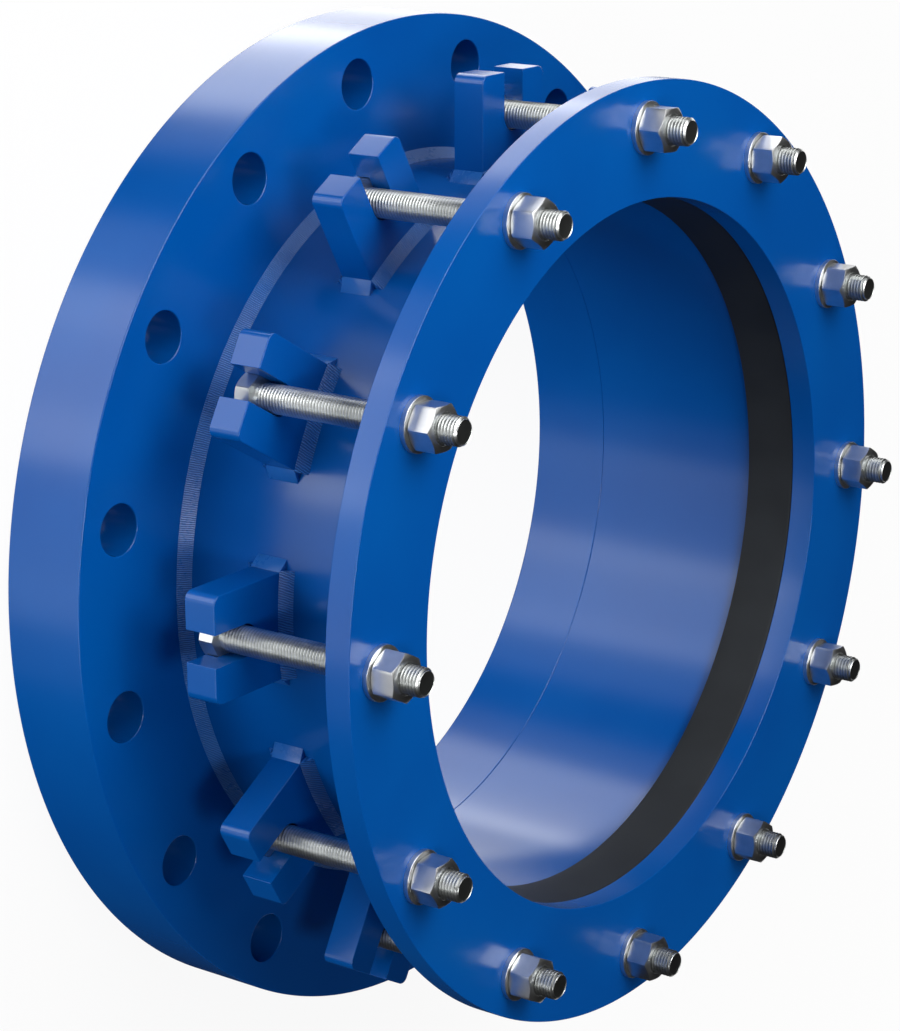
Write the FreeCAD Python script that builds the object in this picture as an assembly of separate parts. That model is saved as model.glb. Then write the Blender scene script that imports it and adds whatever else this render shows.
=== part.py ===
import FreeCAD, Part

import math
import os

# Flange adaptor for a 16 in steel pipe, in millimetres.
# It stands on the flange's mating face. The origin is the centre of that face and +Z is the
# common axis, towards the gland ring where the plain pipe end goes in. +Y passes through the
# first gland bolt and between two flange bolt holes.

# The pipe that goes in, whose size the bores follow
PIPE_OD = 406.4

# Flange: drilled like a 16 in class 150 flange
FLANGE_OD = 596.9
FLANGE_THICKNESS = 51.3
FLANGE_HOLE_RIM = 28.575
FLANGE_HOLE = 28.6
FLANGE_HOLES = 16
FLANGE_EDGE = 0.8

# Sleeve: a rolled barrel, butted on the flange and belled at its far end to seat the gasket
SLEEVE_CLEARANCE = 5.8
SLEEVE_WALL = 5.5
SLEEVE_EDGE = 0.4
FLARE_START = 166.0
FLARE_LENGTH = 14.0
FLARE_RISE = 11.0
FLARE_LIP = 6.0

# Fillet welds
FLANGE_WELD_LEG = 6.0
LUG_WELD_LEG = 5.8

# Fork lugs: plates with an open slot, each holding one gland bolt by its head
BOLTS = 12
BOLT_OFFSET = 32.7
LUG_BACK = 102.3
LUG_THICKNESS = 20.0
LUG_WIDTH = 60.0
LUG_TOP_MARGIN = 24.8
LUG_CORNER = 5.0
LUG_EDGE = 0.4
SLOT_CLEARANCE = 1.0
RECESS_DEPTH = 8.0
RECESS_CLEARANCE = 0.3

# Gland bolt: M16 x 130 with a hexagon head
THREAD = 16.0
HEX_ACROSS_FLATS = 24.0
HEAD_HEIGHT = 10.0
BOLT_LENGTH = 130.0
BOLT_NECK_UNDERCUT = 0.9
BOLT_NECK_LENGTH = 1.6
BOLT_POINT = 1.5
HEX_CHAMFER_ANGLE = 30.0
HEX_CHAMFER_FACE = 0.955

# Washer and nut
WASHER_OD = 30.0
WASHER_THICKNESS = 3.0
WASHER_HOLE_CLEARANCE = 0.5
WASHER_EDGE = 0.25
NUT_HEIGHT = 14.8
NUT_RUNNING_CLEARANCE = 0.06
NUT_MOUTH = 0.9
# Where each nut stopped when it was tightened: a corner's bearing, in degrees, bolt by bolt
NUT_CORNERS = (57, 27, 59, 32, 5, 32, 56, 27, 55, 27, 2, 28)

# Gland ring: a flat plate ring that the nuts pull against the gasket
RING_RIM = 25.3
RING_CLEARANCE = 3.1
RING_BACK = 194.9
RING_THICKNESS = 15.7
RING_HOLE_CLEARANCE = 1.0
RING_EDGE = 0.5

# Gasket: a rubber wedge ring between the sleeve's bell and the gland ring
GASKET_CLEARANCE = 0.3
GASKET_TIP = 164.7
GASKET_LAND = 10.0
GASKET_MOUTH = 3.5
GASKET_BEVEL = 1.2
GASKET_FIT = 0.3
GASKET_RIM = 1.0

# Sizes that follow from those above
pipe_radius = PIPE_OD / 2
sleeve_inner = pipe_radius + SLEEVE_CLEARANCE
sleeve_outer = sleeve_inner + SLEEVE_WALL
flare_end = FLARE_START + FLARE_LENGTH
flare_slant = math.hypot(FLARE_LENGTH, FLARE_RISE)
# The bell keeps the wall's thickness, so the bends outside lie a little lower than those inside
flare_shift = SLEEVE_WALL * (flare_slant - FLARE_LENGTH) / FLARE_RISE
sleeve_end = flare_end + FLARE_LIP
bell_inner = sleeve_inner + FLARE_RISE
bell_outer = bell_inner + SLEEVE_WALL
bolt_radius = sleeve_outer + BOLT_OFFSET
lug_top = bolt_radius + LUG_TOP_MARGIN
thread_radius = THREAD / 2
lug_front = LUG_BACK + LUG_THICKNESS
head_seat = LUG_BACK + RECESS_DEPTH
bolt_end = head_seat + BOLT_LENGTH
ring_front = RING_BACK + RING_THICKNESS
washer_front = ring_front + WASHER_THICKNESS
nut_front = washer_front + NUT_HEIGHT

AXIS = FreeCAD.Vector(0, 0, 1)
ORIGIN = FreeCAD.Vector(0, 0, 0)


def turned(profile):
    """A solid turned about the common axis from (radius, height) points."""
    points = [FreeCAD.Vector(radius, 0, height) for radius, height in profile]
    face = Part.Face(Part.makePolygon(points + points[:1]))
    return face.revolve(ORIGIN, AXIS, 360)


def disc(radius, bottom, height):
    """A plain cylinder on the common axis."""
    return Part.makeCylinder(radius, height, FreeCAD.Vector(0, 0, bottom), AXIS)


def hexagon(across_flats, bottom, height):
    """A hexagonal prism on the common axis, with a corner towards +X."""
    corner = across_flats / 2 / math.cos(math.pi / 6)
    points = []
    for number in range(6):
        angle = number * math.pi / 3
        points.append(FreeCAD.Vector(corner * math.cos(angle), corner * math.sin(angle), bottom))
    return Part.Face(Part.makePolygon(points + points[:1])).extrude(AXIS * height)


def chamfered_hexagon(bottom, height, chamfer_bottom, chamfer_top):
    """A hexagonal prism whose corners are turned off by a cone at either end."""
    corner = HEX_ACROSS_FLATS / 2 / math.cos(math.pi / 6)
    face_radius = HEX_ACROSS_FLATS / 2 * HEX_CHAMFER_FACE
    drop = (corner - face_radius) * math.tan(math.radians(HEX_CHAMFER_ANGLE))
    top = bottom + height
    profile = [(0, bottom)]
    if chamfer_bottom:
        profile += [(face_radius, bottom), (corner, bottom + drop)]
    else:
        profile.append((corner, bottom))
    if chamfer_top:
        profile += [(corner, top - drop), (face_radius, top)]
    else:
        profile.append((corner, top))
    profile.append((0, top))
    return hexagon(HEX_ACROSS_FLATS, bottom, height).common(turned(profile))


def at_bolt(shape, number, own_turn=0.0):
    """A copy of a shape made on the common axis, moved to one gland bolt's place."""
    bearing = 90.0 + number * 360.0 / BOLTS
    moved = shape.copy()
    moved.rotate(ORIGIN, AXIS, own_turn)
    reach = math.radians(bearing)
    moved.translate(FreeCAD.Vector(bolt_radius * math.cos(reach), bolt_radius * math.sin(reach), 0))
    return moved


def turned_to_bolt(shape, number):
    """A copy of a shape made along +X, turned about the common axis to one gland bolt."""
    moved = shape.copy()
    moved.rotate(ORIGIN, AXIS, 90.0 + number * 360.0 / BOLTS)
    return moved


def make_flange():
    """The drilled plate flange."""
    outer = FLANGE_OD / 2
    blank = turned([
        (sleeve_inner, 0),
        (outer - FLANGE_EDGE, 0),
        (outer, FLANGE_EDGE),
        (outer, FLANGE_THICKNESS - FLANGE_EDGE),
        (outer - FLANGE_EDGE, FLANGE_THICKNESS),
        (sleeve_inner + SLEEVE_EDGE, FLANGE_THICKNESS),
        (sleeve_inner, FLANGE_THICKNESS - SLEEVE_EDGE),
    ])
    holes = []
    for number in range(FLANGE_HOLES):
        bearing = math.radians(90 + (number + 0.5) * 360 / FLANGE_HOLES)
        reach = outer - FLANGE_HOLE_RIM
        place = FreeCAD.Vector(reach * math.cos(bearing), reach * math.sin(bearing), 0)
        holes.append(Part.makeCylinder(FLANGE_HOLE / 2, FLANGE_THICKNESS, place, AXIS))
    return blank.cut(Part.makeCompound(holes))


def make_sleeve():
    """The barrel, with its bell and a straight lip round the gasket."""
    return turned([
        (sleeve_inner + SLEEVE_EDGE, FLANGE_THICKNESS),
        (sleeve_outer, FLANGE_THICKNESS),
        (sleeve_outer, FLARE_START - flare_shift),
        (bell_outer, flare_end - flare_shift),
        (bell_outer, sleeve_end),
        (bell_inner, sleeve_end),
        (bell_inner, flare_end),
        (sleeve_inner, FLARE_START),
        (sleeve_inner, FLANGE_THICKNESS + SLEEVE_EDGE),
    ])


def make_flange_weld():
    """The fillet weld that joins the sleeve to the flange all round."""
    return turned([
        (sleeve_outer, FLANGE_THICKNESS),
        (sleeve_outer + FLANGE_WELD_LEG, FLANGE_THICKNESS),
        (sleeve_outer, FLANGE_THICKNESS + FLANGE_WELD_LEG),
    ])


def lug_slab(width, bottom, height):
    """A slab along +X, from the common axis out past the lug's top, centred on the bolt."""
    corner = FreeCAD.Vector(0, -width / 2, bottom)
    return Part.makeBox(lug_top, width, height, corner)


def make_lug():
    """One fork lug along +X: a plate seated on the sleeve, slotted from its top for the bolt."""
    plate = lug_slab(LUG_WIDTH, LUG_BACK, LUG_THICKNESS)
    rounded = []
    for edge in plate.Edges:
        first, last = edge.Vertexes[0].Point, edge.Vertexes[-1].Point
        upright = abs(first.z - last.z) > LUG_THICKNESS / 2
        if upright and min(first.x, last.x) > bolt_radius:
            rounded.append(edge)
    plate = plate.makeFillet(LUG_CORNER, rounded)
    plate = plate.cut(disc(sleeve_outer, LUG_BACK, LUG_THICKNESS))

    slot_radius = thread_radius + SLOT_CLEARANCE
    slot_corner = FreeCAD.Vector(bolt_radius, -slot_radius, LUG_BACK)
    slot = Part.makeBox(LUG_WIDTH, 2 * slot_radius, LUG_THICKNESS, slot_corner)
    slot = slot.fuse(Part.makeCylinder(
        slot_radius, LUG_THICKNESS, FreeCAD.Vector(bolt_radius, 0, LUG_BACK), AXIS))
    recess = hexagon(HEX_ACROSS_FLATS + 2 * RECESS_CLEARANCE, LUG_BACK, RECESS_DEPTH)
    recess.translate(FreeCAD.Vector(bolt_radius, 0, 0))
    plate = plate.cut(slot.fuse(recess))

    outline = []
    for edge in plate.Edges:
        middle = edge.valueAt((edge.FirstParameter + edge.LastParameter) / 2)
        on_front = edge.BoundBox.ZMin > lug_front - LUG_EDGE
        if on_front and middle.x > lug_top - 2 * LUG_CORNER and abs(middle.y) > slot_radius + LUG_EDGE:
            outline.append(edge)
    return plate.makeChamfer(LUG_EDGE, outline)


def make_lug_welds():
    """The four fillets round one lug: along its front and back faces and up its two ends."""
    half = LUG_WIDTH / 2
    fillets = []
    for face, side in ((lug_front, 1), (LUG_BACK, -1)):
        ring = turned([
            (sleeve_outer, face),
            (sleeve_outer + LUG_WELD_LEG, face),
            (sleeve_outer, face + side * LUG_WELD_LEG),
        ])
        low = min(face, face + side * LUG_WELD_LEG)
        fillets.append(ring.common(lug_slab(LUG_WIDTH, low, LUG_WELD_LEG)))
    foot = math.sqrt(sleeve_outer ** 2 - half ** 2)
    toe = math.sqrt(sleeve_outer ** 2 - (half + LUG_WELD_LEG) ** 2)
    for side in (-1, 1):
        points = [
            FreeCAD.Vector(toe - LUG_WELD_LEG, side * half, LUG_BACK),
            FreeCAD.Vector(foot + LUG_WELD_LEG, side * half, LUG_BACK),
            FreeCAD.Vector(toe, side * (half + LUG_WELD_LEG), LUG_BACK),
        ]
        wedge = Part.Face(Part.makePolygon(points + points[:1])).extrude(AXIS * LUG_THICKNESS)
        fillets.append(wedge.cut(disc(sleeve_outer, LUG_BACK, LUG_THICKNESS)))
    return fillets


def make_bolt():
    """One gland bolt on the common axis, its head's seat and point at their real heights."""
    neck = thread_radius - BOLT_NECK_UNDERCUT
    shank = turned([
        (0, head_seat),
        (neck, head_seat),
        (neck, head_seat + BOLT_NECK_LENGTH),
        (thread_radius, head_seat + BOLT_NECK_LENGTH + BOLT_NECK_UNDERCUT),
        (thread_radius, bolt_end - BOLT_POINT),
        (thread_radius - BOLT_POINT, bolt_end),
        (0, bolt_end),
    ])
    head = chamfered_hexagon(head_seat - HEAD_HEIGHT, HEAD_HEIGHT, True, False)
    return head.fuse(shank).removeSplitter()


def make_washer():
    """One plain washer on the gland ring's front face."""
    outer = WASHER_OD / 2
    inner = thread_radius + WASHER_HOLE_CLEARANCE
    return turned([
        (inner, ring_front),
        (outer - WASHER_EDGE, ring_front),
        (outer, ring_front + WASHER_EDGE),
        (outer, washer_front - WASHER_EDGE),
        (outer - WASHER_EDGE, washer_front),
        (inner, washer_front),
    ])


def make_nut():
    """One hexagon nut, chamfered at both faces, running on the thread's outside."""
    bore = thread_radius + NUT_RUNNING_CLEARANCE
    body = chamfered_hexagon(washer_front, NUT_HEIGHT, True, True)
    hole = turned([
        (0, washer_front),
        (bore + NUT_MOUTH, washer_front),
        (bore, washer_front + NUT_MOUTH),
        (bore, nut_front - NUT_MOUTH),
        (bore + NUT_MOUTH, nut_front),
        (0, nut_front),
    ])
    return body.cut(hole)


def make_gland_ring():
    """The flat gland ring, drilled for the gland bolts."""
    outer = bolt_radius + RING_RIM
    inner = pipe_radius + RING_CLEARANCE
    blank = turned([
        (inner + RING_EDGE, RING_BACK),
        (outer - RING_EDGE, RING_BACK),
        (outer, RING_BACK + RING_EDGE),
        (outer, ring_front - RING_EDGE),
        (outer - RING_EDGE, ring_front),
        (inner + RING_EDGE, ring_front),
        (inner, ring_front - RING_EDGE),
        (inner, RING_BACK + RING_EDGE),
    ])
    hole = disc(thread_radius + RING_HOLE_CLEARANCE, RING_BACK, RING_THICKNESS)
    holes = [at_bolt(hole, number) for number in range(BOLTS)]
    return blank.cut(Part.makeCompound(holes))


def make_gasket():
    """The wedge gasket: a thin tip on the pipe, a cone in the bell and a heel under the ring."""
    land = pipe_radius + GASKET_CLEARANCE
    mouth = pipe_radius + GASKET_MOUTH
    heel = bell_outer - GASKET_RIM
    return turned([
        (land, GASKET_TIP),
        (sleeve_inner - GASKET_FIT, GASKET_TIP),
        (sleeve_inner - GASKET_FIT, FLARE_START),
        (bell_inner - GASKET_FIT, flare_end),
        (bell_inner - GASKET_FIT, sleeve_end),
        (heel, sleeve_end),
        (heel, RING_BACK),
        (mouth + GASKET_BEVEL, RING_BACK),
        (mouth, RING_BACK - GASKET_BEVEL),
        (land, GASKET_TIP + GASKET_LAND),
    ])


def write(name, shape):
    """One sub-part's file."""
    shape.exportStep("parts/" + name + ".step")
    print(name, "solids", len(shape.Solids), "valid", shape.isValid(), "cm3", round(shape.Volume / 1000, 2))


def main():
    os.makedirs("parts", exist_ok=True)
    write("flange", make_flange())
    write("sleeve", make_sleeve())
    write("flange_weld", make_flange_weld())
    write("gasket", make_gasket())
    write("gland_ring", make_gland_ring())

    lug = make_lug()
    welds = make_lug_welds()
    bolt = make_bolt()
    washer = make_washer()
    nut = make_nut()
    lug_welds = []
    gland_bolts = []
    gland_washers = []
    for number in range(BOLTS):
        label = "%02d" % (number + 1)
        bearing = 90.0 + number * 360.0 / BOLTS
        write("lug_" + label, turned_to_bolt(lug, number))
        lug_welds += [turned_to_bolt(weld, number) for weld in welds]
        gland_bolts.append(at_bolt(bolt, number, bearing))
        gland_washers.append(at_bolt(washer, number))
        write("nut_" + label, at_bolt(nut, number, NUT_CORNERS[number]))
    write("lug_welds", Part.makeCompound(lug_welds))
    write("gland_bolts", Part.makeCompound(gland_bolts))
    write("gland_washers", Part.makeCompound(gland_washers))


main()
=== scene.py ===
"""Looks of the flange adaptor: its dressed pieces, their finishes, the studio and the camera.

Everything is in metres in the frame of the solids: the origin is the centre of the flange's
mating face and +Z runs along the common axis towards the gland ring.
"""

import logging
import math
from dataclasses import dataclass, field, replace
from enum import Enum
from typing import Callable, Iterable, Optional, Sequence

import bmesh
import bpy
from mathutils import Matrix, Vector


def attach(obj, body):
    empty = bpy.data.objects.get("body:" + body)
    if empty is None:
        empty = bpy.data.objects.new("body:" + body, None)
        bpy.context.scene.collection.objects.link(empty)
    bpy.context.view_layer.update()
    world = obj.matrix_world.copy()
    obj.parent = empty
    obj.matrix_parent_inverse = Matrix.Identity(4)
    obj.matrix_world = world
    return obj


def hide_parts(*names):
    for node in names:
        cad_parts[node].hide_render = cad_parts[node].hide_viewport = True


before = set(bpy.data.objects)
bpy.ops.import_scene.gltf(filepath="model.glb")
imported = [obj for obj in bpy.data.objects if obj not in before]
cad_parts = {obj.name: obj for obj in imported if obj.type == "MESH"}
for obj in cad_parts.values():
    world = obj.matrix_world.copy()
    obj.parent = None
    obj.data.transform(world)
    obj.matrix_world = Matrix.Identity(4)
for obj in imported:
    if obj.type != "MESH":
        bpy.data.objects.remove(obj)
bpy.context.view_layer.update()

LOG = logging.getLogger("flange_adaptor")
MM = 0.001
FULL_TURN = 2.0 * math.pi
UP = Vector((0.0, 0.0, 1.0))
CENTRE = Vector((0.0, 0.0, 0.0))
SHARP_ANGLE = math.radians(32.0)
FLAT_ANGLE = math.radians(0.5)
MERGE = 0.5e-5
RIM_REACH = 4.0 * MERGE
LARGE_STEPS = 320
BEAD_MAP = "bead"
# Names the vertex value that sets the painted shade in thread roots and in the bolt end's hollow.
GROOVE_SHADE = "groove_shade"

# The colour sockets of a Mix node, which share their names with its other sockets.
MIX_FACTOR, MIX_FIRST, MIX_SECOND, MIX_RESULT = 0, 6, 7, 2
# The cloud values between which the base colour goes from dark to light.
RAMP_LOW, RAMP_HIGH = 0.35, 0.65
# How much of the roughness follows the cloud; the rest follows the grain.
CLOUD_SHARE = 0.7
# The noise that shifts the weld ripples: its scale, in cycles a metre, and its reach, in ripples.
WANDER_SCALE, WANDER_REACH = 240.0, 0.8

Point = tuple[float, float]
Color = tuple[float, float, float]


class Body(str, Enum):
    """The rigid bodies that a piece can ride on."""

    SLEEVE = "sleeve_body"
    GLAND = "gland"


class Slot(str, Enum):
    """The record's material slots."""

    COATING = "blue_coating"
    BOLT = "zinc_bolt"
    WASHER = "zinc_washer"
    NUT = "zinc_nut"
    RUBBER = "gasket_rubber"


# ---------------------------------------------------------------- materials


def new_group(name: str, inputs: Sequence[tuple[str, float]],
              outputs: Sequence[str]) -> bpy.types.NodeTree:
    """Starts a shader node group with number inputs and outputs.

    Args:
        name: the group's name.
        inputs: each input's name and default value.
        outputs: each output's name.

    Returns:
        The empty group, with one Group Input and one Group Output node.
    """
    group = bpy.data.node_groups.new(name, "ShaderNodeTree")
    sockets = group.interface
    for label, default in inputs:
        socket = sockets.new_socket(name=label, in_out="INPUT", socket_type="NodeSocketFloat")
        socket.default_value = default
    for label in outputs:
        sockets.new_socket(name=label, in_out="OUTPUT", socket_type="NodeSocketFloat")
    group.nodes.new("NodeGroupInput").name = "in"
    group.nodes.new("NodeGroupOutput").name = "out"
    return group


def feed(tree: bpy.types.NodeTree, socket: bpy.types.NodeSocket, value: object) -> None:
    """Gives an input its value.

    Args:
        tree: the tree that holds the input.
        socket: the input.
        value: an output to link to it, or a number.
    """
    if isinstance(value, bpy.types.NodeSocket):
        tree.links.new(value, socket)
    else:
        socket.default_value = value


def object_noise(tree: bpy.types.NodeTree, scale: object, detail: float) -> bpy.types.Node:
    """Adds a noise texture on Object coordinates.

    Args:
        tree: the tree that takes the nodes.
        scale: the noise's scale, in cycles a metre, as a socket or a number.
        detail: its octaves.

    Returns:
        The noise node.
    """
    place = tree.nodes.new("ShaderNodeTexCoord")
    noise = tree.nodes.new("ShaderNodeTexNoise")
    feed(tree, noise.inputs["Scale"], scale)
    noise.inputs["Detail"].default_value = detail
    tree.links.new(place.outputs["Object"], noise.inputs["Vector"])
    return noise


def math_node(tree: bpy.types.NodeTree, operation: str, first: object,
              second: object) -> bpy.types.NodeSocket:
    """Adds a Math node whose inputs are sockets or plain numbers.

    Args:
        tree: the tree that takes the node.
        operation: the Math node's operation.
        first: a socket or a number.
        second: a socket or a number.

    Returns:
        The node's output socket.
    """
    node = tree.nodes.new("ShaderNodeMath")
    node.operation = operation
    for socket, value in zip(node.inputs, (first, second)):
        feed(tree, socket, value)
    return node.outputs[0]


def make_cloud_group() -> bpy.types.NodeTree:
    """Builds the shared effect of slow cloudy change and fine grain over a surface.

    Returns:
        A group that puts out a cloud value and a grain value, both about 0 to 1, and a roughness
        between its low and high inputs.
    """
    group = new_group(
        "cloud_and_grain",
        [("Cloud Scale", 12.0), ("Grain Scale", 900.0), ("Roughness Low", 0.2),
         ("Roughness High", 0.4)],
        ["Cloud", "Grain", "Roughness"],
    )
    start, end = group.nodes["in"].outputs, group.nodes["out"].inputs
    cloud = object_noise(group, start["Cloud Scale"], 3.0).outputs["Fac"]
    grain = object_noise(group, start["Grain Scale"], 2.0).outputs["Fac"]
    mixed = math_node(group, "ADD", math_node(group, "MULTIPLY", cloud, CLOUD_SHARE),
                      math_node(group, "MULTIPLY", grain, 1.0 - CLOUD_SHARE))
    spread = math_node(group, "SUBTRACT", start["Roughness High"], start["Roughness Low"])
    rough = math_node(group, "ADD", start["Roughness Low"],
                      math_node(group, "MULTIPLY", mixed, spread))
    feed(group, end["Cloud"], cloud)
    feed(group, end["Grain"], grain)
    feed(group, end["Roughness"], rough)
    return group


def make_ripple_group() -> bpy.types.NodeTree:
    """Builds the effect of a weld's ripples, from a UV map that counts them along the bead.

    Returns:
        A group that puts out the ripples' height, 0 to 1. Along counts the ripples, Wander shifts
        them, and Rippled is 1 where there are any and 0 where the bead is smooth.
    """
    group = new_group("weld_ripples", [("Along", 0.0), ("Wander", 0.0), ("Rippled", 1.0)],
                      ["Height"])
    start, end = group.nodes["in"].outputs, group.nodes["out"].inputs
    shifted = math_node(group, "ADD", start["Along"], start["Wander"])
    wave = math_node(group, "COSINE", math_node(group, "MULTIPLY", shifted, FULL_TURN), 0.0)
    half = math_node(group, "MULTIPLY", wave, 0.5)
    half = math_node(group, "MULTIPLY", half, start["Rippled"])
    feed(group, end["Height"], math_node(group, "ADD", half, 0.5))
    return group


@dataclass(frozen=True)
class Finish:
    """One surface finish: a Principled shader whose colour, roughness and relief vary a little.

    Attributes:
        name: the material's name.
        dark: the base colour in the hollows of the slow variation.
        light: the base colour on its crests.
        metallic: the shader's metallic value.
        roughness: the lowest and highest roughness.
        cloud_scale: the slow variation's scale, in cycles a metre.
        grain_scale: the fine grain's scale, in cycles a metre.
        relief: the height of the fine grain, in metres.
        coat: the weight of a clear coat, which on a rippled weld lies on the crests alone.
        coat_roughness: the clear coat's roughness.
        specular: the specular level.
        ripples: the height of the weld ripples on the piece's UV map, in metres.
        hollow: the painted shade colour for the bottom of the ripples or of the thread.
        hollow_shade_share: how far the hollows take that painted shade.
    """

    name: str
    dark: Color
    light: Color
    metallic: float
    roughness: Point
    cloud_scale: float
    grain_scale: float
    relief: float
    coat: float = 0.0
    coat_roughness: float = 0.2
    specular: float = 0.5
    ripples: float = 0.0
    # Painted shade for hollows: its colour and how far it goes.
    hollow: Color = (0.0, 0.0, 0.0)
    hollow_shade_share: float = 0.0

    def material(self, group: bpy.types.NodeTree,
                 ripple_group: Optional[bpy.types.NodeTree] = None) -> bpy.types.Material:
        """Builds the material.

        Args:
            group: the shared cloud and grain group.
            ripple_group: the weld ripples' group, for a finish that has them.

        Returns:
            The new material.
        """
        made = bpy.data.materials.new(self.name)
        made.use_nodes = True
        tree = made.node_tree
        shader = tree.nodes["Principled BSDF"]
        effect = tree.nodes.new("ShaderNodeGroup")
        effect.node_tree = group
        effect.inputs["Cloud Scale"].default_value = self.cloud_scale
        effect.inputs["Grain Scale"].default_value = self.grain_scale
        effect.inputs["Roughness Low"].default_value = self.roughness[0]
        effect.inputs["Roughness High"].default_value = self.roughness[1]

        ramp = tree.nodes.new("ShaderNodeValToRGB")
        low, high = ramp.color_ramp.elements
        low.position, low.color = RAMP_LOW, (*self.dark, 1.0)
        high.position, high.color = RAMP_HIGH, (*self.light, 1.0)
        tree.links.new(effect.outputs["Cloud"], ramp.inputs["Fac"])
        tree.links.new(ramp.outputs["Color"], shader.inputs["Base Color"])
        tree.links.new(effect.outputs["Roughness"], shader.inputs["Roughness"])

        bump = tree.nodes.new("ShaderNodeBump")
        bump.inputs["Strength"].default_value = 1.0
        bump.inputs["Distance"].default_value = self.relief
        tree.links.new(effect.outputs["Grain"], bump.inputs["Height"])
        tree.links.new(bump.outputs["Normal"], shader.inputs["Normal"])
        if ripple_group:
            self.add_ripples(tree, ripple_group, bump)
        elif self.hollow_shade_share:
            # Painted shade in the thread's roots and in the bolt end's hollow, read from the groove
            # attribute.
            groove_shade = tree.nodes.new("ShaderNodeAttribute")
            groove_shade.attribute_name = GROOVE_SHADE
            self.paint_hollow_shade(tree, groove_shade.outputs["Fac"])

        shader.inputs["Metallic"].default_value = self.metallic
        shader.inputs["Specular IOR Level"].default_value = self.specular
        shader.inputs["Coat Weight"].default_value = self.coat
        shader.inputs["Coat Roughness"].default_value = self.coat_roughness
        return made

    def paint_hollow_shade(self, tree: bpy.types.NodeTree, depth: bpy.types.NodeSocket) -> None:
        """Paints shade into the hollows by mixing the hollow colour into the base colour.

        Args:
            tree: the material's tree.
            depth: how deep a place lies, 0 on a crest and 1 at the bottom.
        """
        base = tree.nodes["Principled BSDF"].inputs["Base Color"]
        mix = tree.nodes.new("ShaderNodeMix")
        mix.data_type = "RGBA"
        share = math_node(tree, "MULTIPLY", depth, self.hollow_shade_share)
        tree.links.new(share, mix.inputs[MIX_FACTOR])
        tree.links.new(base.links[0].from_socket, mix.inputs[MIX_FIRST])
        mix.inputs[MIX_SECOND].default_value = (*self.hollow, 1.0)
        tree.links.new(mix.outputs[MIX_RESULT], base)

    def add_ripples(self, tree: bpy.types.NodeTree, ripple_group: bpy.types.NodeTree,
                    grain: bpy.types.Node) -> None:
        """Presses the weld ripples into the surface, under the grain, coats their crests and paints
        shade into their troughs.

        Args:
            tree: the material's tree.
            ripple_group: the weld ripples' group.
            grain: the bump node that carries the grain.
        """
        layout = tree.nodes.new("ShaderNodeUVMap")
        layout.uv_map = BEAD_MAP
        parts = tree.nodes.new("ShaderNodeSeparateXYZ")
        tree.links.new(layout.outputs["UV"], parts.inputs["Vector"])
        wander = object_noise(tree, WANDER_SCALE, 1.0)
        effect = tree.nodes.new("ShaderNodeGroup")
        effect.node_tree = ripple_group
        tree.links.new(parts.outputs["X"], effect.inputs["Along"])
        tree.links.new(parts.outputs["Y"], effect.inputs["Rippled"])
        sway = math_node(tree, "SUBTRACT", wander.outputs["Fac"], 0.5)
        tree.links.new(math_node(tree, "MULTIPLY", sway, WANDER_REACH), effect.inputs["Wander"])
        pressed = tree.nodes.new("ShaderNodeBump")
        pressed.inputs["Strength"].default_value = 1.0
        pressed.inputs["Distance"].default_value = self.ripples
        tree.links.new(effect.outputs["Height"], pressed.inputs["Height"])
        tree.links.new(pressed.outputs["Normal"], grain.inputs["Normal"])
        crest = math_node(tree, "MULTIPLY", effect.outputs["Height"], self.coat)
        tree.links.new(crest, tree.nodes["Principled BSDF"].inputs["Coat Weight"])
        # Painted shade: the ripples' troughs take the hollow colour.
        self.paint_hollow_shade(tree, math_node(tree, "SUBTRACT", 1.0, effect.outputs["Height"]))


BLUE_COATING = Finish(
    name="blue_epoxy_coating",
    dark=(0.0, 0.074, 0.335),
    light=(0.0, 0.086, 0.365),
    metallic=0.0,
    roughness=(0.17, 0.23),
    cloud_scale=9.0,
    grain_scale=700.0,
    relief=0.000012,
)
# Painted light: the blue coating over the welds, lighter than the plain coating, with painted shade
# in the ripples' troughs.
BLUE_WELD = Finish(
    name="blue_coated_weld",
    dark=(0.02, 0.17, 0.56),
    light=(0.03, 0.2, 0.62),
    metallic=0.0,
    roughness=(0.24, 0.32),
    cloud_scale=30.0,
    grain_scale=500.0,
    relief=0.00002,
    coat=0.6,
    coat_roughness=0.28,
    specular=0.34,
    ripples=0.0003,
    hollow=(0.0, 0.045, 0.24),
    hollow_shade_share=0.85,
)
BRIGHT_ZINC = Finish(
    name="bright_zinc_thread",
    dark=(0.70, 0.72, 0.71),
    light=(0.82, 0.84, 0.83),
    metallic=1.0,
    roughness=(0.29, 0.39),
    cloud_scale=70.0,
    grain_scale=1500.0,
    relief=0.000008,
    # Painted shade in the thread's roots.
    hollow=(0.18, 0.19, 0.19),
    hollow_shade_share=0.5,
)
NUT_ZINC = Finish(
    name="bright_zinc_nut",
    dark=(0.68, 0.69, 0.69),
    light=(0.80, 0.81, 0.81),
    metallic=1.0,
    roughness=(0.29, 0.38),
    cloud_scale=90.0,
    grain_scale=1400.0,
    relief=0.000008,
)
WASHER_ZINC = replace(
    NUT_ZINC, name="bright_zinc_washer", roughness=(0.31, 0.40), cloud_scale=110.0,
)
GASKET_RUBBER = Finish(
    name="moulded_gasket_rubber",
    dark=(0.012, 0.0145, 0.0175),
    light=(0.0155, 0.0185, 0.022),
    metallic=0.0,
    roughness=(0.58, 0.7),
    cloud_scale=40.0,
    grain_scale=1100.0,
    relief=0.00003,
    specular=0.4,
)


# ---------------------------------------------------------------- mesh helpers


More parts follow.
